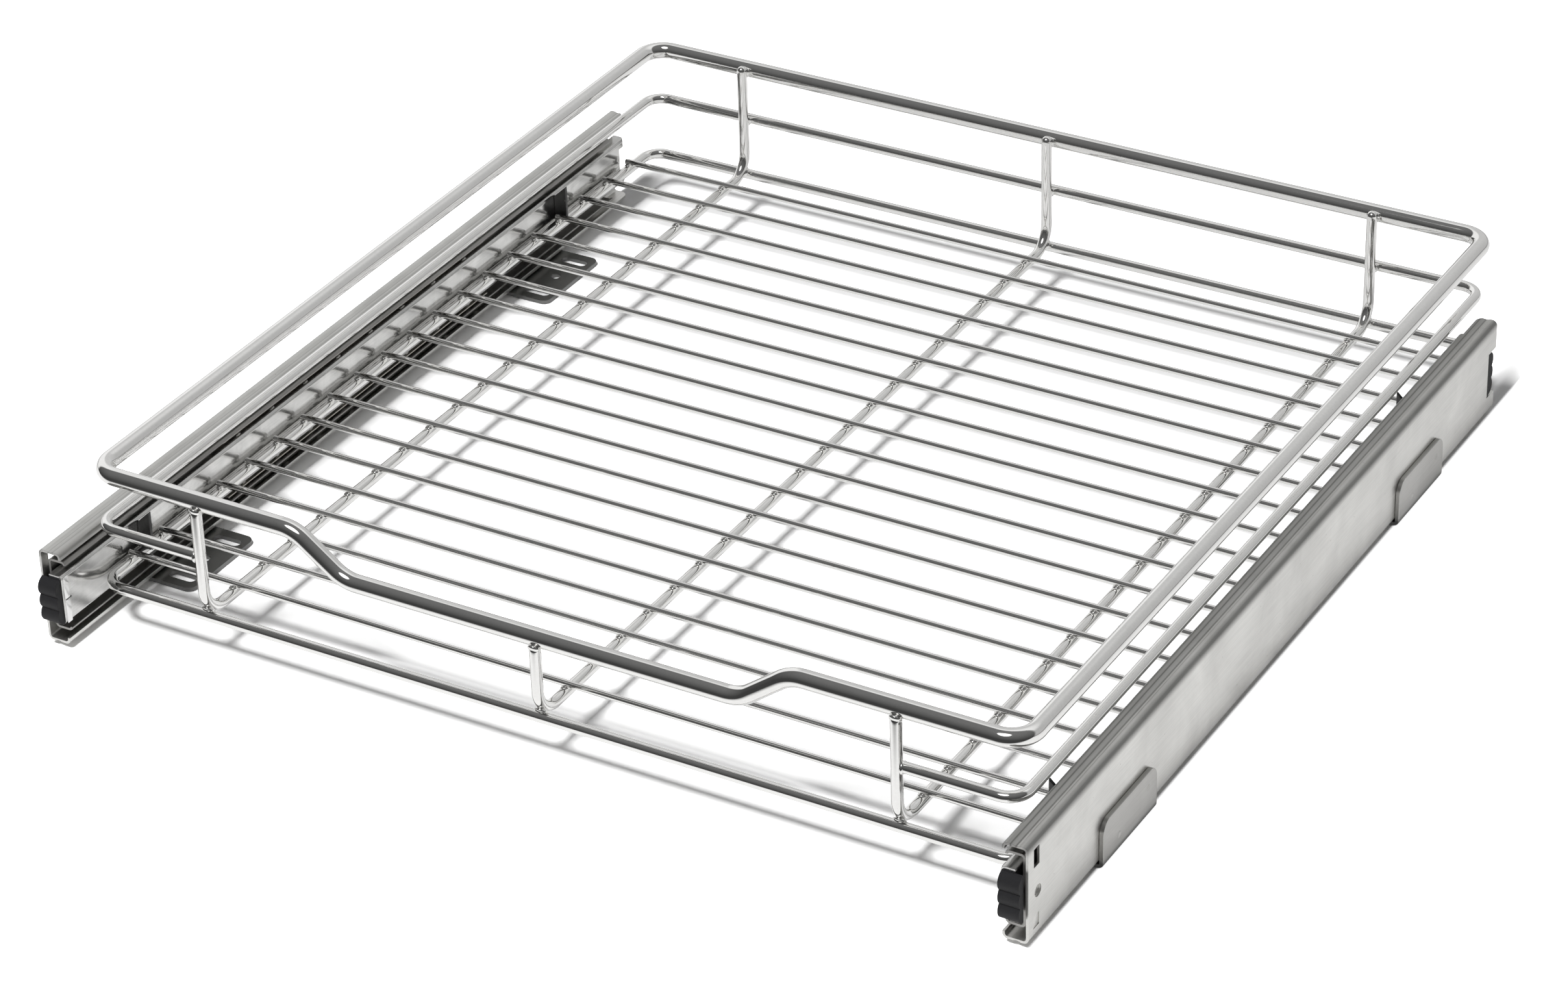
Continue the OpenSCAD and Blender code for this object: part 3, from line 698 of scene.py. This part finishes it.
def addLips(o):
    y, deep = (o["front"] + o["back"]) / 2, o["back"] - o["front"]
    halves = (("Lower", o["low"], o["split"] - o["slit"] / 2),
              ("Upper", o["split"] + o["slit"] / 2, o["high"]))
    for side, sideName in ((-1, "Left"), (1, "Right")):
        x = side * (o["face"] - o["thick"] / 2 + o["proud"])
        for place, low, high in halves:
            sheet = addSheet(f"lip{place}{sideName}", (x, y, (low + high) / 2),
                             (o["thick"], deep, high - low), o["edge"])
            finishPiece(sheet, highlightZinc, "basket")
        # a near-black sheet in the nick between the lips: painted shadow
        nick = addSheet(f"lipNick{sideName}", (x, y + o["nickBehind"], o["split"]),
                        (o["thick"], deep + o["nickLonger"], o["slit"]), o["edge"])
        finishPiece(nick, bracketSteel, "basket")


# the tab that half fills the lower slot of each outer web
slotTab = {
    "face": 233.6, "inset": 0.3, "thick": 0.3, "edge": 0.08,
    "front": 4.2, "wide": 4.6, "low": 7.0, "high": 12.8, "play": 0.1,
}


def addTabs(o):
    for side, sideName in ((-1, "Left"), (1, "Right")):
        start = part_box(f"outer_channel_{sideName.lower()}")[0][1] / mm + o["front"]
        centre = (side * (o["face"] - o["inset"] - o["thick"] / 2), start + o["wide"] / 2,
                  (o["low"] + o["high"]) / 2)
        size = (o["thick"], o["wide"] - o["play"], o["high"] - o["low"] - o["play"])
        tab = addSheet(f"slotTab{sideName}", centre, size, o["edge"])
        finishPiece(tab, zinc, "cabinet_members")


addLips(lip)
addTabs(slotTab)
print("lips and tabs added")

room = {
    "floorSize": 16,
    "floorDrop": 0.0002,       # keeps it just clear of the feet
    "floorColour": 0.82,
    "seenColour": 1.5,         # the camera sees the lit floor clipped to white
    "sideGlow": 0.9,           # lightens the shadows that fall outside the slides
    "sideFrom": 0.232, "sideTo": 0.2338,
    "backFrom": 0.24, "backTo": 0.28,        # behind the basket
    "frontFrom": -0.85, "frontTo": -1.1,     # and far in front
    "shinyGlow": 0.12,         # added to what shiny steel sees of it
    "floorEdge": -0.32,        # shiny steel sees a dark room in front of this
    "edgeSoftness": 0.05,
    "keyPlace": (-0.2, -1.9, 3.27),
    "keyWatts": 140,
    "keySize": 0.78,
    "plainLevel": 0.13,        # what matt surfaces receive from all round
    "darkTone": 0.05,          # what shiny steel sees in front, at the horizon
    "overheadTone": 0.18,      # and straight up
    "wallLean": 0.325,         # how far that dark front reaches back overhead
    "wallFrom": -0.06, "wallTo": 0.1,
    # on the back: a share to the right of the middle, and the tone there
    "wallTones": [(-1, 0.95), (-0.58, 0.95), (-0.48, 0.62), (-0.1, 0.62), (0.6, 0.5)],
    "highTone": 0.92, "highFrom": 0.6, "highTo": 0.9,
    "horizonShare": 0.24, "horizonFrom": -0.02, "horizonTo": 0.1,
    "spotTone": 2.2,           # a bright patch in the lamp's place
    "spotHalf": 15,
    "spotEdge": 0.01,
}
white = (1, 1, 1, 1)


def splitViews(tree, others, steel, camera):
    # the camera, shiny steel and all other surfaces each see a shader of their own
    path = addNode(tree, "ShaderNodeLightPath")
    direct = addNode(tree, "ShaderNodeMath", operation="SUBTRACT", use_clamp=True)
    forSteel = addNode(tree, "ShaderNodeMixShader")
    final = addNode(tree, "ShaderNodeMixShader")
    wire(tree, path.outputs["Is Glossy Ray"], direct.inputs[0])
    wire(tree, path.outputs["Diffuse Depth"], direct.inputs[1])
    wire(tree, direct.outputs["Value"], forSteel.inputs["Fac"])
    wire(tree, others, forSteel.inputs[1])
    wire(tree, steel, forSteel.inputs[2])
    wire(tree, path.outputs["Is Camera Ray"], final.inputs["Fac"])
    wire(tree, forSteel.outputs["Shader"], final.inputs[1])
    wire(tree, camera, final.inputs[2])
    return final.outputs["Shader"]


def addFloor(r):
    bpy.ops.object.select_all(action="DESELECT")
    bpy.ops.mesh.primitive_plane_add(size=r["floorSize"], location=(0, 0, -r["floorDrop"]))
    floor = bpy.context.object
    floor.name = "floor"
    bpy.ops.object.transform_apply(location=True, rotation=True, scale=True)
    material = bpy.data.materials.new("whiteFloor")
    material.use_nodes = True
    tree = material.node_tree
    tree.nodes.remove(tree.nodes["Principled BSDF"])
    place = addNode(tree, "ShaderNodeTexCoord")
    parts = addNode(tree, "ShaderNodeSeparateXYZ")
    wire(tree, place.outputs["Object"], parts.inputs["Vector"])

    # what the camera sees: lit white, with a glow at the sides and ends
    seen = addNode(tree, "ShaderNodeBsdfDiffuse", {"Color": (r["seenColour"],) * 3 + (1,)})
    wide = addNode(tree, "ShaderNodeMath", operation="ABSOLUTE")
    outside = addRange(tree, r["sideFrom"], r["sideTo"], 0, r["sideGlow"], eased=True)
    behind = addRange(tree, r["backFrom"], r["backTo"], 0, r["sideGlow"], eased=True)
    ahead = addRange(tree, r["frontFrom"], r["frontTo"], 0, r["sideGlow"], eased=True)
    ends = addNode(tree, "ShaderNodeMath", operation="MAXIMUM")
    glow = addNode(tree, "ShaderNodeMath", operation="MAXIMUM")
    lift = addNode(tree, "ShaderNodeEmission", {"Color": white})
    lifted = addNode(tree, "ShaderNodeAddShader")
    wire(tree, parts.outputs["X"], wide.inputs[0])
    wire(tree, wide.outputs["Value"], outside.inputs["Value"])
    wire(tree, parts.outputs["Y"], behind.inputs["Value"])
    wire(tree, parts.outputs["Y"], ahead.inputs["Value"])
    wire(tree, behind.outputs["Result"], ends.inputs[0])
    wire(tree, ahead.outputs["Result"], ends.inputs[1])
    wire(tree, outside.outputs["Result"], glow.inputs[0])
    wire(tree, ends.outputs["Value"], glow.inputs[1])
    wire(tree, glow.outputs["Value"], lift.inputs["Strength"])
    wire(tree, seen.outputs["BSDF"], lifted.inputs[0])
    wire(tree, lift.outputs["Emission"], lifted.inputs[1])

    # what shiny steel sees: the floor below the basket, and a dark room in front of it
    matt = addNode(tree, "ShaderNodeBsdfDiffuse", {"Color": (r["floorColour"],) * 3 + (1,)})
    faint = addNode(tree, "ShaderNodeEmission", {"Color": white, "Strength": r["shinyGlow"]})
    mirrored = addNode(tree, "ShaderNodeAddShader")
    gloom = addNode(tree, "ShaderNodeEmission", {"Color": white, "Strength": r["darkTone"]})
    front = addRange(tree, r["floorEdge"] + r["edgeSoftness"], r["floorEdge"] - r["edgeSoftness"],
                     eased=True)
    shaded = addNode(tree, "ShaderNodeMixShader")
    wire(tree, matt.outputs["BSDF"], mirrored.inputs[0])
    wire(tree, faint.outputs["Emission"], mirrored.inputs[1])
    wire(tree, parts.outputs["Y"], front.inputs["Value"])
    wire(tree, front.outputs["Result"], shaded.inputs["Fac"])
    wire(tree, mirrored.outputs["Shader"], shaded.inputs[1])
    wire(tree, gloom.outputs["Emission"], shaded.inputs[2])

    final = splitViews(tree, matt.outputs["BSDF"], shaded.outputs["Shader"],
                       lifted.outputs["Shader"])
    wire(tree, final, tree.nodes["Material Output"].inputs["Surface"])
    floor.data.materials.append(material)


def addLamp(name, place, watts, size):
    bpy.ops.object.light_add(type="AREA", location=place)
    lamp = bpy.context.object
    lamp.name = name
    lamp.data.shape = "SQUARE"
    lamp.data.size = size
    lamp.data.energy = watts
    lamp.visible_glossy = False    # shiny steel sees the world's bright patch instead
    lamp.rotation_euler = Vector(place).to_track_quat("Z", "Y").to_euler()


def setWorld(r):
    world = bpy.data.worlds.new("studio")
    world.use_nodes = True
    bpy.context.scene.world = world
    tree = world.node_tree
    plain = tree.nodes["Background"]
    plain.inputs["Color"].default_value = white
    plain.inputs["Strength"].default_value = r["plainLevel"]
    seen = addNode(tree, "ShaderNodeBackground", {"Color": white, "Strength": 1})
    mirrored = addNode(tree, "ShaderNodeBackground", {"Color": white})
    direction = addNode(tree, "ShaderNodeTexCoord")
    parts = addNode(tree, "ShaderNodeSeparateXYZ")
    wire(tree, direction.outputs["Generated"], parts.inputs["Vector"])

    # the back of the room: a tone for each place across it, one for high up, darker at the horizon
    across = addRange(tree, -1, 1)
    walls = addNode(tree, "ShaderNodeValToRGB")
    stops = walls.color_ramp.elements
    stops.remove(stops[1])
    for number, (x, level) in enumerate(r["wallTones"]):
        stop = stops[0] if number == 0 else stops.new((x + 1) / 2)
        stop.color = (level, level, level, 1)
    steep = addRange(tree, r["highFrom"], r["highTo"], eased=True)
    wall = addNode(tree, "ShaderNodeMix", {"B": r["highTone"]})
    horizon = addRange(tree, r["horizonFrom"], r["horizonTo"], r["horizonShare"], 1, eased=True)
    banded = addNode(tree, "ShaderNodeMath", operation="MULTIPLY")
    wire(tree, parts.outputs["X"], across.inputs["Value"])
    wire(tree, across.outputs["Result"], walls.inputs["Fac"])
    wire(tree, parts.outputs["Z"], steep.inputs["Value"])
    wire(tree, steep.outputs["Result"], wall.inputs["Factor"])
    wire(tree, walls.outputs["Color"], wall.inputs["A"])
    wire(tree, parts.outputs["Z"], horizon.inputs["Value"])
    wire(tree, wall.outputs["Result"], banded.inputs[0])
    wire(tree, horizon.outputs["Result"], banded.inputs[1])

    # the dark front half
    lean = addNode(tree, "ShaderNodeMath", {1: -r["wallLean"]}, operation="MULTIPLY_ADD")
    behind = addRange(tree, r["wallFrom"], r["wallTo"], eased=True)
    gloom = addRange(tree, 0, 1, r["darkTone"], r["overheadTone"])
    tone = addNode(tree, "ShaderNodeMix")
    wire(tree, parts.outputs["Z"], lean.inputs[0])
    wire(tree, parts.outputs["Y"], lean.inputs[2])
    wire(tree, lean.outputs["Value"], behind.inputs["Value"])
    wire(tree, parts.outputs["Z"], gloom.inputs["Value"])
    wire(tree, behind.outputs["Result"], tone.inputs["Factor"])
    wire(tree, gloom.outputs["Result"], tone.inputs["A"])
    wire(tree, banded.outputs["Value"], tone.inputs["B"])

    # the bright patch
    towards = addNode(tree, "ShaderNodeVectorMath", {1: Vector(r["keyPlace"]).normalized()},
                      operation="DOT_PRODUCT")
    edge = math.cos(math.radians(r["spotHalf"]))
    spot = addRange(tree, edge - r["spotEdge"], edge + r["spotEdge"], 0, r["spotTone"], eased=True)
    brighter = addNode(tree, "ShaderNodeMath", operation="MAXIMUM")
    wire(tree, direction.outputs["Generated"], towards.inputs[0])
    wire(tree, towards.outputs["Value"], spot.inputs["Value"])
    wire(tree, tone.outputs["Result"], brighter.inputs[0])
    wire(tree, spot.outputs["Result"], brighter.inputs[1])
    wire(tree, brighter.outputs["Value"], mirrored.inputs["Strength"])

    final = splitViews(tree, plain.outputs["Background"], mirrored.outputs["Background"],
                       seen.outputs["Background"])
    wire(tree, final, tree.nodes["World Output"].inputs["Surface"])


addFloor(room)
addLamp("keyLamp", room["keyPlace"], room["keyWatts"], room["keySize"])
setWorld(room)
bpy.context.scene.view_settings.view_transform = "Standard"
print("room set")
